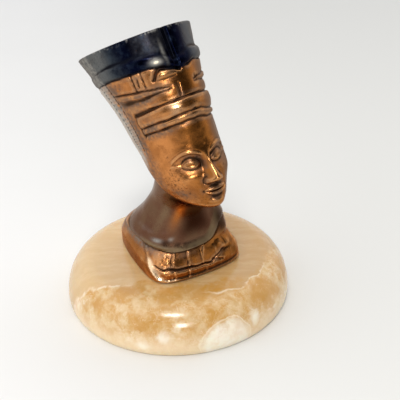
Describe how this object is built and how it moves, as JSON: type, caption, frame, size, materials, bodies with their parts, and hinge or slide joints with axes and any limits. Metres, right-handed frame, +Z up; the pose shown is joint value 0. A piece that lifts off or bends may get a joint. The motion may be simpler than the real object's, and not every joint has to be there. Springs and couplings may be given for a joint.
{
  "type": "egyptian queen figurine",
  "caption": "Small cast copper-alloy bust of an Egyptian queen in a tall flared crown, with a plate collar, on a round polished onyx base that stands by its own weight.",
  "frame": {"origin": "centre of the round base's underside, on the surface that it stands on", "axes": "+Z up; the shoulder block faces -Y and the figure's left side is towards +X; the bust leans a little to its right, and its crown leans back"},
  "size_m": [0.075, 0.075, 0.094],
  "materials": {
    "bust_metal": "cast copper alloy, worn bright on the high places over a dark brown patina, blue-black round the crown's top",
    "base_stone": "polished honey onyx with paler clouds and veins"
  },
  "bodies": {
    "root": {"queen_bust": "bust_metal", "onyx_base": "base_stone"}
  },
  "joints": []
}
